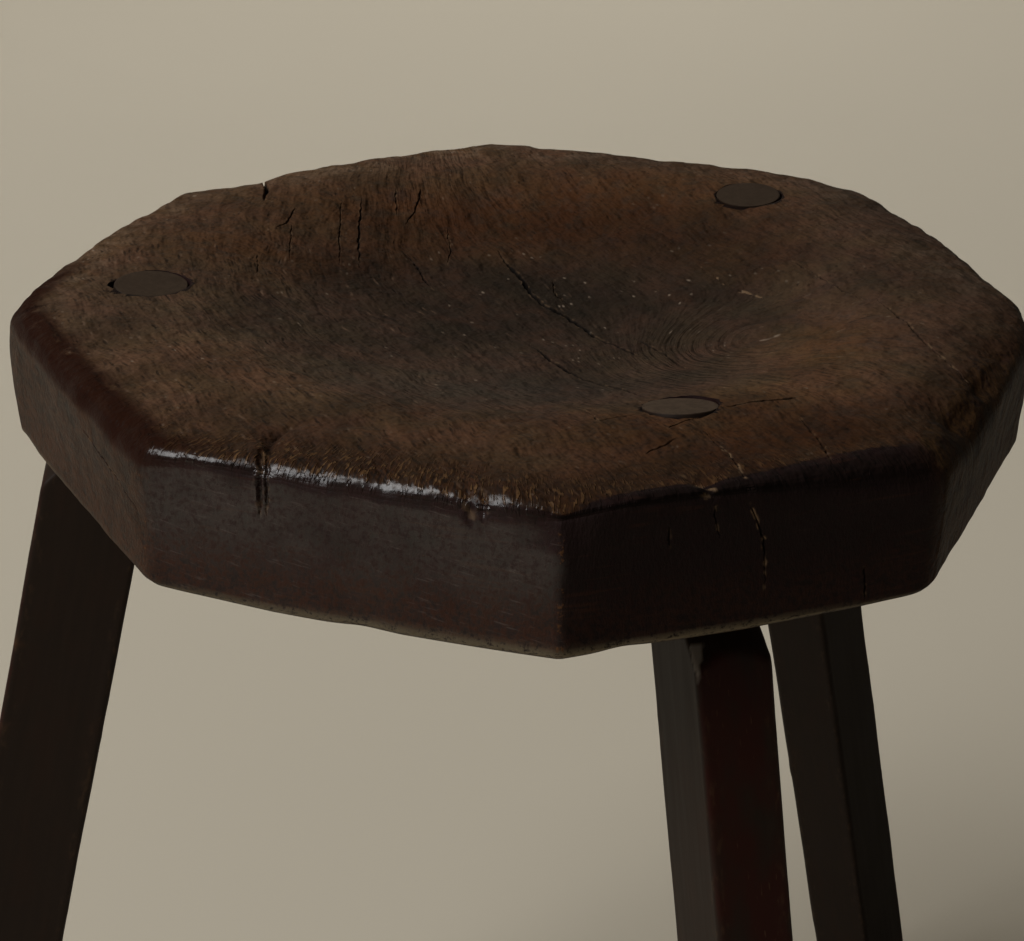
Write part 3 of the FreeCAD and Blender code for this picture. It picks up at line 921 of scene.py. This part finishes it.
def carveLeg(piece, leg, m, neckTop):
    mesh = piece.data
    base, normal = getPoints(mesh), getNormals(mesh)
    seed = leg["seed"]
    turn = math.radians(leg["turn"])
    flatX = base[:, 0] * math.cos(turn) + base[:, 1] * math.sin(turn)
    flatY = -base[:, 0] * math.sin(turn) + base[:, 1] * math.cos(turn) - leg["aside"]
    toFace = np.minimum(legBar["outer"] - flatX, flatX - legBar["inner"])
    toCorner = toFace + legBar["half"] + leg["wider"] - np.abs(flatY)
    bar = easeStep(neckTop + 1, neckTop - 8, base[:, 2])
    floorGap = base @ m[2, :3] + m[2, 3] + seatMiddle[2]
    stretched = base * np.array([1, 1, 0.12])
    height = bar * (0.35 * latticeNoise(base, 38, seed) + 0.08 * latticeNoise(stretched, 5.0, seed + 10))
    height += bar * 0.04 * latticeNoise(stretched, 2.2, seed + 20)
    nicks = np.clip(latticeNoise(base, 14.0, seed + 30) - 0.35, 0, 1)
    nicks += 0.25 * np.clip(latticeNoise(base, 4.0, seed + 40) - 0.3, 0, 1)
    height -= easeStep(3.5, 0.6, toCorner) * bar * (0.7 * nicks + 0.1)
    height *= easeStep(0.5, 6.0, floorGap)
    moved = base + normal * height[:, None]
    setPoints(mesh, moved @ m[:3, :3].T + m[:3, 3])
    paint(mesh, "legX", flatX)
    paint(mesh, "legY", flatY)
    paint(mesh, "legZ", base[:, 2])
    paint(mesh, "arris", easeStep(7.0, 1.0, toCorner) * easeStep(neckTop + 6, neckTop - 10, base[:, 2]))
    paint(mesh, "tenonEnd", easeStep(-6, -1, base[:, 2]) * easeStep(0.5, 0.9, np.abs(normal[:, 2])))
    # how pale each end is: pale end grain, with painted light on the front leg's end, which tilts away from
    # the lamp
    paint(mesh, "endPaleAndLit", np.full(len(base), leg["endPaleAndLit"]))
    paint(mesh, "outerFace", bar * easeStep(1.6, 0.3, legBar["outer"] - flatX))
    # painted shade on one face of the back leg
    paint(mesh, "shadedFace", leg.get("dim", 0) * easeStep(1.6, 0.3, legBar["half"] + leg["wider"] + flatY))
    away = np.abs(np.degrees(np.arctan2(flatY, flatX)) - legBar["shaveWay"])
    depth = (neckTop - base[:, 2] - legBar["shaveTop"]) / legBar["shaveLong"]
    shaved = easeStep(0.0, 1.0, legBar["shaveWide"] * (1 - depth) - away) * (depth > 0)
    paint(mesh, "shaved", shaved)
    paint(mesh, "rubbed", bell(base[:, 2], leg.get("rub", 999), 0.35) * easeStep(-2, 3, flatX))
    paint(mesh, "foot", 1 - easeStep(1.0, 40.0, floorGap))


def boreMortises(seat):  # the three raked holes, a little looser than the tenons
    cutter = bmesh.new()
    around = legBar["boreAround"]
    for leg in legs.values():
        matrix = legMatrix(leg)
        rings = []
        for z in legBar["bore"]:
            ring = []
            for i in range(around):
                turn = i * 2 * math.pi / around
                r = legBar["hole"] + leg["thick"] + 0.03 * math.sin(3 * turn + leg["seed"])
                r += 0.02 * math.sin(7 * turn)
                for way, gap, width in leg["gaps"]:
                    off = (math.degrees(turn) - way + 180) % 360 - 180
                    r += gap * math.exp(-(off / width) ** 2)
                ring.append(cutter.verts.new(matrix @ Vector((r * math.cos(turn), r * math.sin(turn), z))))
            rings.append(ring)
        top, low = rings
        cutter.faces.new(top)
        cutter.faces.new(low[::-1])
        for i in range(around):
            j = (i + 1) % around
            cutter.faces.new((top[j], top[i], low[i], low[j]))
    mesh = bpy.data.meshes.new("mortiseCutter")
    cutter.to_mesh(mesh)
    cutter.free()
    tool = bpy.data.objects.new("mortiseCutter", mesh)
    bpy.context.scene.collection.objects.link(tool)
    cut = seat.modifiers.new("mortises", "BOOLEAN")
    cut.object = tool
    cut.operation = "DIFFERENCE"
    cut.solver = "EXACT"
    graph = bpy.context.evaluated_depsgraph_get()
    bored = bpy.data.meshes.new_from_object(seat.evaluated_get(graph), depsgraph=graph)
    seat.modifiers.clear()
    old = seat.data
    seat.data = bored
    bpy.data.meshes.remove(old)
    bpy.data.objects.remove(tool)
    bpy.data.meshes.remove(mesh)


def settle(piece, sharp):  # from the seat's middle in millimetres to the frame in metres
    mesh = piece.data
    setPoints(mesh, (getPoints(mesh) + seatMiddle) * toMetres)
    mesh.polygons.foreach_set("use_smooth", np.ones(len(mesh.polygons), bool))
    mesh.set_sharp_from_angle(angle=math.radians(sharp))
    mesh.update()


seatFinish = {
    "olive": (0.0615, 0.0335, 0.0155),
    "brown": (0.067, 0.0335, 0.0160),
    "pink": (0.073, 0.0355, 0.0192),
    "paleStroke": (0.150, 0.092, 0.058),
    "rimGrey": (0.092, 0.062, 0.043),
    "shadeDarkened": (0.53, 0.455, 0.375),
    "greySheen": (0.88, 1.0, 1.18),
    "lightened": (1.36, 1.34, 1.24),
    "dust": (0.046, 0.034, 0.0235),
    "stainAndShade": (0.305, 0.345, 0.395),  # the dish is this much darker, a stain; its blue tilt is painted grey sheen
    "warm": (0.076, 0.0270, 0.0066),
    "fibre": (0.128, 0.066, 0.025),
    "poreShade": (0.009, 0.0045, 0.0024),
    "crackShadeTone": (0.0025, 0.0015, 0.001),
    "splitEdge": (0.20, 0.125, 0.068),
    "darkSideLow": (0.0078, 0.0031, 0.0025),
    "darkSideHigh": (0.0184, 0.0071, 0.0072),
    "bareSideLow": (0.0125, 0.0060, 0.0023),
    "bareSideHigh": (0.045, 0.0192, 0.0080),
    "oliveSide": (1.14, 1.30, 0.72),
    "soot": (0.0046, 0.0019, 0.0010),
    "red": (0.050, 0.0165, 0.0065),
    "redEdge": (0.0152, 0.0027, 0.0002),
    "lowEdge": (0.17, 0.138, 0.090),
    "scratch": (0.085, 0.064, 0.056),
    "glintHighlight": (0.26, 0.20, 0.145),
    "bareCorner": (0.105, 0.046, 0.016),
    "shine": 0.12,
    "waxRoughness": 0.2,
    "redBandTop": 440.0,  # heights over the floor, and sizes of the marks, in millimetres
    "redBandLow": 420.0,
    "waxLow": 418.0,
    "waxHigh": 444.0,
    "patchSize": 34.0,
    "tintSize": 20.0,
    "mottleSize": 8.0,
    "speckSize": 2.0,
    "bumpDepth": 0.0016,
    "waxBump": 0.45,
    "waxBumpDepth": 0.0010,
}

seatFigure = {  # sizes across the grain, along it and in height, then detail and roughness
    "swell": (4.5, 18.0, 9.0, 2.0),
    "strokes": (2.3, 11.0, 6.0, 1.0),
    "rings": (3.6, 90.0, 70.0, 1.0),
    "sideGrain": (0.95, 9.0, 3.0, 3.0, 0.62),
}

seatPits = {  # sizes across and along the grain, share of the places that have one, and reach
    "wedges": (1.6, 8.0, 0.22, 0.42),
    "dots": (1.7, 3.6, 0.09, 0.34),
    "paleWedges": (1.9, 9.0, 0.12, 0.36),
    "glints": (1.7, 3.2, 0.05, 0.42),
}

seatEdgeMarks = {  # sizes round the edge, inwards and in height; the scuffs' second one slants
    "strands": (1.1, 5.0, 5.0),
    "hewn": (34.0, 30.0, 1.6),
    "scuffs": (9.0, 0.9, 40.0),
}

seatTones = tonesOf(seatFinish)
seatPaint = (
    "acrossGrain", "alongGrain", "edgeRun", "inset", "upward", "topTone", "dishStain", "streaky", "swirl",
    "warmth", "fibres", "dust", "rimGrey", "greySheen", "lightened", "shadeDarkened", "bare", "waxed", "redEdge",
    "soot", "coarse", "bareCorner", "lowEdge", "split", "flecks",
)


def plainNoise(marks, size, detail=3.0, rough=0.55):
    sockets = {"Vector": marks.place, "Scale": 1 / toMetres / size, "Detail": detail, "Roughness": rough}
    return put("TexNoise", sockets)


def grainNoise(marks, acrossSize, alongSize, heightSize, detail=2.0, rough=0.5):
    values = (marks.uneven, marks.alongGrain, marks.heightMm)
    return noiseIn(values, (acrossSize, alongSize, heightSize), detail, rough)


def pits(marks, acrossSize, alongSize, share, reach):  # long pits, in a share of the cells they could be in
    cells = {"Vector": scaled((marks.uneven, marks.alongGrain), (acrossSize, alongSize)), "Scale": 1.0}
    away = put("TexVoronoi", cells, voronoi_dimensions="2D")
    chance = put("SeparateColor", {0: put("TexVoronoi", cells, out=1, voronoi_dimensions="2D")})
    return both(span(away, reach * 0.3, reach, 1.0, 0.0), maths("LESS_THAN", chance, share))


def lay(name, factor, under, share=1.0):  # lays a tone of the seat over what is under it
    return blend(both(factor, share), under, seatTones[name])


def seatMarks():  # what is painted on the seat, and the noises that its tones, gloss and relief share
    marks = SimpleNamespace(**dict(zip(seatPaint, painted(*seatPaint))))
    marks.place = put("TexCoord", {}, out=3)
    marks.heightMm = both(put("SeparateXYZ", {0: marks.place}, out=2), 1 / toMetres)
    marks.patches = plainNoise(marks, seatFinish["patchSize"], 4.0, 0.6)
    marks.mottle = plainNoise(marks, seatFinish["mottleSize"], 4.0, 0.55)
    marks.speck = plainNoise(marks, seatFinish["speckSize"], 4.0, 0.7)
    marks.uneven = total(marks.acrossGrain, both(marks.mottle, 2.0))
    return marks


# worn mottled wood, soft strokes and sparse pits along the grain, and rings where it closes
def addFigure(marks):
    marks.swell = grainNoise(marks, *seatFigure["swell"])
    marks.strokes = grainNoise(marks, *seatFigure["strokes"])
    wedges, dots = pits(marks, *seatPits["wedges"]), pits(marks, *seatPits["dots"])
    paleZone = span(plainNoise(marks, 11.0, 3.0), 0.44, 0.58)
    marks.paleWedges = both(pits(marks, *seatPits["paleWedges"]), paleZone)
    broken = span(plainNoise(marks, 9.0, 3.0), 0.40, 0.58)
    longPits = both(both(wedges, broken), total(0.1, both(marks.streaky, 0.8)))
    marks.grooves = maths("MAXIMUM", longPits, both(dots, 0.55))
    marks.rings = span(grainNoise(marks, *seatFigure["rings"]), 0.34, 0.66)
    plain = mixed(0.18, marks.mottle, marks.speck)
    soft = mixed(total(0.2, both(marks.streaky, 0.2)), plain, marks.strokes)
    marks.figure = span(mixed(0.2, soft, marks.swell), 0.34, 0.66)
    marks.figure = mixed(both(marks.swirl, 0.5), marks.figure, mixed(0.55, marks.figure, marks.rings))


def topTones(marks):  # from the bare wood to what lies on it
    tint = plainNoise(marks, seatFinish["tintSize"], 2.0, 0.5)
    top = ramp(tint, ((0.38, seatTones["olive"]), (0.5, seatTones["brown"]), (0.62, seatTones["pink"])))
    # painted grey sheen on the back rim
    top = lay("rimGrey", both(marks.rimGrey, span(marks.mottle, 0.4, 0.6)), top, 0.6)
    top = blend(1.0, top, span(marks.figure, 0.0, 1.0, 0.80, 1.22), "MULTIPLY")
    aged = span(marks.patches, 0.35, 0.65, 0.75, 1.21)
    top = blend(1.0, top, aged, "MULTIPLY")
    stained = blend(1.0, top, seatTones["stainAndShade"], "MULTIPLY")
    top = blend(both(marks.dishStain, span(marks.mottle, 0.25, 0.5, 0.8, 1.0)), top, stained)
    # painted grey sheen at the dish's front, seen at a grazing angle
    top = lay("dust", marks.dust, top, 0.5)
    warm = total(both(marks.fibres, 0.5), both(span(tint, 0.52, 0.66), 0.2))
    warm = total(both(marks.warmth, 0.85), warm)
    top = lay("warm", both(warm, span(marks.mottle, 0.32, 0.58)), top, 0.8)
    # painted grey sheen, painted light with wear, and painted shade with some stain, each tinting the top
    for name in ("greySheen", "lightened", "shadeDarkened"):
        top = blend(getattr(marks, name), top, blend(1.0, top, seatTones[name], "MULTIPLY"))
    top = lay("paleStroke", both(marks.paleWedges, total(0.12, both(marks.streaky, 0.5))), top, 0.8)
    # painted shade in the pits along the grain
    top = lay("poreShade", marks.grooves, top, 0.8)
    strands = noiseIn((marks.edgeRun, marks.inset, marks.heightMm), seatEdgeMarks["strands"], 1.5, 0.5)
    tufts = both(marks.fibres, span(plainNoise(marks, 8.0, 3.0), 0.32, 0.48))
    marks.loose = both(tufts, span(strands, 0.53, 0.62))
    # painted shade between the loose fibres
    top = lay("poreShade", both(tufts, span(strands, 0.46, 0.38)), top, 0.85)
    top = lay("fibre", marks.loose, top, 0.8)
    # painted glints: specks of highlight, most in the dish and on its lit, worn wall
    glints = both(pits(marks, *seatPits["glints"]), span(plainNoise(marks, 16.0, 3.0), 0.50, 0.58))
    top = lay("glintHighlight", both(glints, total(0.3, total(marks.dishStain, marks.lightened))), top, 0.5)
    return top


# dark with painted shade, partly a stain, or bare; with a red low band, hewn marks, scuffs, pale corners,
# painted shade in pits, and a low edge lit pale by painted floor bounce
def sideTones(marks):
    marks.sideGrain = mixed(0.4, grainNoise(marks, *seatFigure["sideGrain"]), marks.mottle)
    worn = span(mixed(0.55, marks.mottle, marks.speck), 0.22, 0.66)
    dark = blend(worn, seatTones["darkSideLow"], seatTones["darkSideHigh"])
    # painted shade, partly a stain
    dark = lay("soot", marks.soot, dark)
    grey = blend(span(marks.sideGrain, 0.36, 0.64), seatTones["bareSideLow"], seatTones["bareSideHigh"])
    marks.olive = span(marks.coarse, 0.7, 0.9)
    grey = blend(marks.olive, grey, blend(1.0, grey, seatTones["oliveSide"], "MULTIPLY"))
    # painted shade in the side's pits
    grey = lay("poreShade", both(marks.coarse, span(marks.speck, 0.46, 0.34)), grey, 0.7)
    grey = lay("poreShade", both(marks.olive, span(marks.mottle, 0.47, 0.38)), grey, 0.7)
    sides = blend(both(marks.bare, span(marks.speck, 0.15, 0.5)), dark, grey)
    bandHeight = total(marks.heightMm, both(marks.mottle, 22.0))
    lowBand = span(bandHeight, seatFinish["redBandTop"], seatFinish["redBandLow"])
    lowBand = both(lowBand, span(marks.speck, 0.38, 0.6))
    sides = lay("red", both(lowBand, maths("SUBTRACT", 1.0, marks.soot)), sides, 0.5)
    hewn = noiseIn((marks.edgeRun, marks.inset, marks.heightMm), seatEdgeMarks["hewn"], 2.0, 0.5)
    hewn = both(span(hewn, 0.56, 0.68), span(marks.patches, 0.42, 0.6))
    sides = lay("red", hewn, sides, 0.25)
    slant = total(marks.heightMm, both(marks.edgeRun, 0.16))
    scuffs = noiseIn((marks.edgeRun, slant, marks.inset), seatEdgeMarks["scuffs"], 2.0, 0.6)
    scuffs = both(span(scuffs, 0.58, 0.68), both(marks.waxed, span(marks.mottle, 0.42, 0.6)))
    sides = lay("scratch", scuffs, sides, 0.4)
    # painted floor bounce light on the low edge
    sides = lay("lowEdge", both(marks.lowEdge, span(marks.speck, 0.34, 0.5)), sides, 0.85)
    raggedCorner = total(marks.bareCorner, both(maths("SUBTRACT", marks.speck, 0.5), 1.3))
    sides = lay("bareCorner", span(raggedCorner, 0.62, 0.8), sides, 0.8)
    return sides


def seatGloss(marks):  # dull wood under a rubbed wax that fades downwards
    rough = mixed(marks.upward, total(0.48, both(marks.speck, 0.25)), total(0.62, both(marks.figure, 0.2)))
    rough = total(rough, both(maths("MAXIMUM", marks.redEdge, marks.soot), 0.32))
    waxHeight = total(marks.heightMm, both(marks.patches, 22.0))
    upper = span(waxHeight, seatFinish["waxLow"], seatFinish["waxHigh"], 0.32, 1.0)
    rubbed = both(span(marks.patches, 0.35, 0.6, 0.7, 1.0), span(marks.speck, 0.66, 0.42, 0.4, 1.0))
    return rough, both(both(marks.waxed, upper), rubbed)


def seatRelief(marks):
    reliefTop = total(both(plainNoise(marks, 6.0, 2.0), 1.5), both(marks.speck, 0.1))
    reliefTop = total(both(marks.swell, 1.1), reliefTop)
    ringRelief = both(both(marks.rings, marks.swirl), 0.25)
    reliefTop = total(reliefTop, total(both(marks.strokes, 0.2), ringRelief))
    reliefTop = maths("SUBTRACT", reliefTop, both(marks.grooves, 0.12))
    reliefTop = total(reliefTop, both(marks.loose, 0.6))
    reliefSide = total(both(marks.sideGrain, 0.4), both(marks.speck, 0.2))
    reliefSide = total(reliefSide, both(both(marks.olive, marks.mottle), 0.8))
    reliefSide = both(reliefSide, total(0.7, both(marks.coarse, 1.8)))
    return mixed(marks.upward, reliefSide, reliefTop)


def makeSeatWood():
    material = newMaterial("seatWood")
    marks = seatMarks()
    addFigure(marks)
    top, sides = topTones(marks), sideTones(marks)
    raggedUp = total(marks.topTone, both(maths("SUBTRACT", marks.speck, 0.5), 0.5))
    base = blend(span(raggedUp, 0.80, 1.02), sides, top)
    base = lay("redEdge", both(marks.redEdge, span(marks.mottle, 0.86, 0.58)), base, 0.95)
    base = lay("splitEdge", marks.flecks, base, 0.75)
    # painted shade inside the cracks and the knot's ring
    base = lay("crackShadeTone", span(marks.split, 0.1, 0.75), base, 0.95)
    rough, wax = seatGloss(marks)
    height = seatRelief(marks)
    bump = put("Bump", {"Strength": 1.0, "Distance": seatFinish["bumpDepth"], "Height": height})
    softBump = put("Bump", {
        "Strength": seatFinish["waxBump"], "Distance": seatFinish["waxBumpDepth"], "Height": height,
    })
    shader = put("BsdfPrincipled", {
        "Base Color": base, "Roughness": rough, "Normal": bump, "Specular IOR Level": seatFinish["shine"],
        "Coat Weight": wax, "Coat Roughness": seatFinish["waxRoughness"], "Coat Normal": softBump,
    })
    put("OutputMaterial", {0: shader})
    return material


legFinish = {
    "dark": (0.0136, 0.0072, 0.0042),
    "light": (0.0168, 0.0090, 0.0053),
    "red": (0.022, 0.0085, 0.0040),
    "outer": (0.023, 0.0036, 0.0016),
    "worn": (0.075, 0.040, 0.019),
    "rubbed": (0.16, 0.062, 0.018),
    "shadedFace": (0.0075, 0.0038, 0.0016),
    "shaved": (0.21, 0.185, 0.165),
    "endDark": (0.024, 0.0142, 0.0075),
    "endLight": (0.070, 0.0460, 0.0290),
    "dusty": (0.060, 0.040, 0.026),
    "shine": 0.16,
    "bump": 0.12,
    "bumpDepth": 0.0005,
}

legMarks = {  # size, how many times longer it is along the leg, then detail and roughness
    "streaks": (2.6, 22.0),
    "fibres": (0.7, 16.0, 2.0),
    "mottle": (14.0, 2.0, 4.0),
    "speck": (2.4, 2.5, 3.0),
    "nicks": (0.9, 7.0, 1.0),
    "endGrain": (3.0, 1.0, 4.0, 0.7),
}


def makeLegWood():
    material = newMaterial("legWood")
    x, y, z, arris, outer = painted("legX", "legY", "legZ", "arris", "outerFace")
    end, endPaleAndLit, foot = painted("tenonEnd", "endPaleAndLit", "foot")
    shaved, rubbed, shadedFace = painted("shaved", "rubbed", "shadedFace")
    tone = tonesOf(legFinish)

    def woodNoise(size, stretch, detail=3.0, rough=0.55):
        return noiseIn((x, y, z), (size, size, size * stretch), detail, rough)

    streaks, fibres = woodNoise(*legMarks["streaks"]), woodNoise(*legMarks["fibres"])
    mottle, speck = woodNoise(*legMarks["mottle"]), woodNoise(*legMarks["speck"])
    base = blend(span(streaks, 0.3, 0.7), tone["dark"], tone["light"])
    base = blend(both(span(mottle, 0.46, 0.64), 0.3), base, tone["red"])
    base = blend(both(outer, span(mottle, 0.3, 0.6)), base, tone["outer"])
    nicks = both(span(woodNoise(*legMarks["nicks"]), 0.68, 0.74), span(mottle, 0.5, 0.62))
    base = blend(both(both(outer, nicks), 0.6), base, tone["worn"])
    base = blend(both(both(arris, span(speck, 0.52, 0.70)), 0.3), base, tone["worn"])
    base = blend(both(rubbed, span(speck, 0.3, 0.5)), base, tone["rubbed"])
    # painted shade on the back leg's face
    base = blend(shadedFace, base, tone["shadedFace"])
    base = blend(shaved, base, tone["shaved"])
    # pale end grain, with painted light on the front leg's end
    endTone = both(endPaleAndLit, span(woodNoise(*legMarks["endGrain"]), 0.3, 0.7, 0.45, 1.2))
    base = blend(end, base, blend(endTone, tone["endDark"], tone["endLight"]))
    base = blend(both(foot, span(mottle, 0.35, 0.65)), base, tone["dusty"])
    rough = total(total(0.50, both(streaks, 0.1)), both(maths("MAXIMUM", end, shadedFace), 0.3))
    height = total(both(streaks, 0.6), both(fibres, 0.4))
    sockets = {"Strength": legFinish["bump"], "Distance": legFinish["bumpDepth"], "Height": height}
    bump = put("Bump", sockets)
    shader = put("BsdfPrincipled", {
        "Base Color": base, "Roughness": rough, "Normal": bump, "Specular IOR Level": legFinish["shine"],
    })
    put("OutputMaterial", {0: shader})
    return material


seat = buildPlank()
refineAtCracks(seat)
carvePlank(seat)
boreMortises(seat)
settle(seat, 48)
seat.data.materials.append(makeSeatWood())
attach(seat, "root")
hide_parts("seat")
print("seat made:", len(seat.data.vertices), "points,", len(seat.data.polygons), "faces")

legWood = makeLegWood()
for name, leg in legs.items():
    piece = buildLeg(name, leg)
    settle(piece, 50)
    piece.data.materials.append(legWood)
    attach(piece, "root")
    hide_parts(name)
    print(name, "made:", len(piece.data.polygons), "faces")


studio = {
    "floorColour": (0.607, 0.550, 0.4416),
    "floorReach": 5.0,
    "floorBack": 3.4,
    "flatFrom": -1.5,
    "bend": 1.2,
    "bendSteps": 12,
    "wallTop": 3.6,
    "cloudy": (0.97, 1.03),  # faint clouds in the floor's colour
    "sky": (0.56, 0.48, 0.37),
    "skyPower": 0.10,
}

lamps = {
    "keySoftbox": {
        "at": (-2.36, -1.10, 3.15), "aim": (0.03, 0.0, 0.42), "size": 2.6, "power": 122.0, "spread": 180.0,
    },
    "backSoftbox": {
        "at": (0.2, 2.7, 3.2), "aim": (0.2, 2.7, 0.0), "size": 1.8, "power": 9.5, "spread": 80.0,
    },
}

camera = {
    "at": (0.0360, -0.87095, 0.78271),
    "forward": (-0.0033523, 0.9076978, -0.4196111),
    "right": (0.99999428, 0.00285244, -0.00181866),
    "lens": 91.41,
    "sensor": 36.0,
}


def makeFloor():
    reach, back, bend = studio["floorReach"], studio["floorBack"], studio["bend"]
    profile = [(-reach, 0.0), (studio["flatFrom"], 0.0), (back - bend, 0.0)]
    for step in range(1, studio["bendSteps"] + 1):
        turn = step / studio["bendSteps"] * math.pi / 2
        profile.append((back - bend + bend * math.sin(turn), bend - bend * math.cos(turn)))
    profile.append((back, studio["wallTop"]))
    points = [(x, y, z) for y, z in profile for x in (-reach, reach)]
    faces = [(2 * i, 2 * i + 1, 2 * i + 3, 2 * i + 2) for i in range(len(profile) - 1)]
    floor = newPiece("studioFloor", points, faces)
    floor.data.polygons.foreach_set("use_smooth", np.ones(len(faces), bool))
    material = newMaterial("paperFloor")
    place = put("TexCoord", {}, out=3)
    cloud = put("TexNoise", {"Vector": place, "Scale": 1.4, "Detail": 3.0})
    deeper, paler = [colour(*[c * share for c in studio["floorColour"]]) for share in studio["cloudy"]]
    tone = blend(cloud, deeper, paler)
    shader = put("BsdfPrincipled", {"Base Color": tone, "Roughness": 0.9, "Specular IOR Level": 0.2})
    put("OutputMaterial", {0: shader})
    floor.data.materials.append(material)


def makeLamp(name, settings):
    lamp = bpy.data.lights.new(name, "AREA")
    lamp.shape = "SQUARE"
    lamp.size = settings["size"]
    lamp.energy = settings["power"]
    lamp.spread = math.radians(settings["spread"])
    holder = bpy.data.objects.new(name, lamp)
    at, aim = Vector(settings["at"]), Vector(settings["aim"])
    holder.location = at
    holder.rotation_euler = (aim - at).to_track_quat("-Z", "Y").to_euler()
    bpy.context.scene.collection.objects.link(holder)


def makeCamera():
    lens = bpy.data.cameras.new("photoCamera")
    lens.sensor_fit = "HORIZONTAL"
    lens.sensor_width = camera["sensor"]
    lens.lens = camera["lens"]
    holder = bpy.data.objects.new("photoCamera", lens)
    forward, right = Vector(camera["forward"]).normalized(), Vector(camera["right"]).normalized()
    up = right.cross(forward)
    turn = Matrix((right, up, -forward)).transposed().to_4x4()
    holder.matrix_world = Matrix.Translation(Vector(camera["at"])) @ turn
    bpy.context.scene.collection.objects.link(holder)
    bpy.context.scene.camera = holder


makeFloor()
for name, settings in lamps.items():
    makeLamp(name, settings)
sky = bpy.data.worlds.new("studioSky")
sky.use_nodes = True
glow = sky.node_tree.nodes["Background"]
glow.inputs[0].default_value = colour(*studio["sky"])
glow.inputs[1].default_value = studio["skyPower"]
bpy.context.scene.world = sky
bpy.context.scene.view_settings.view_transform = "Standard"
makeCamera()
print("studio ready")
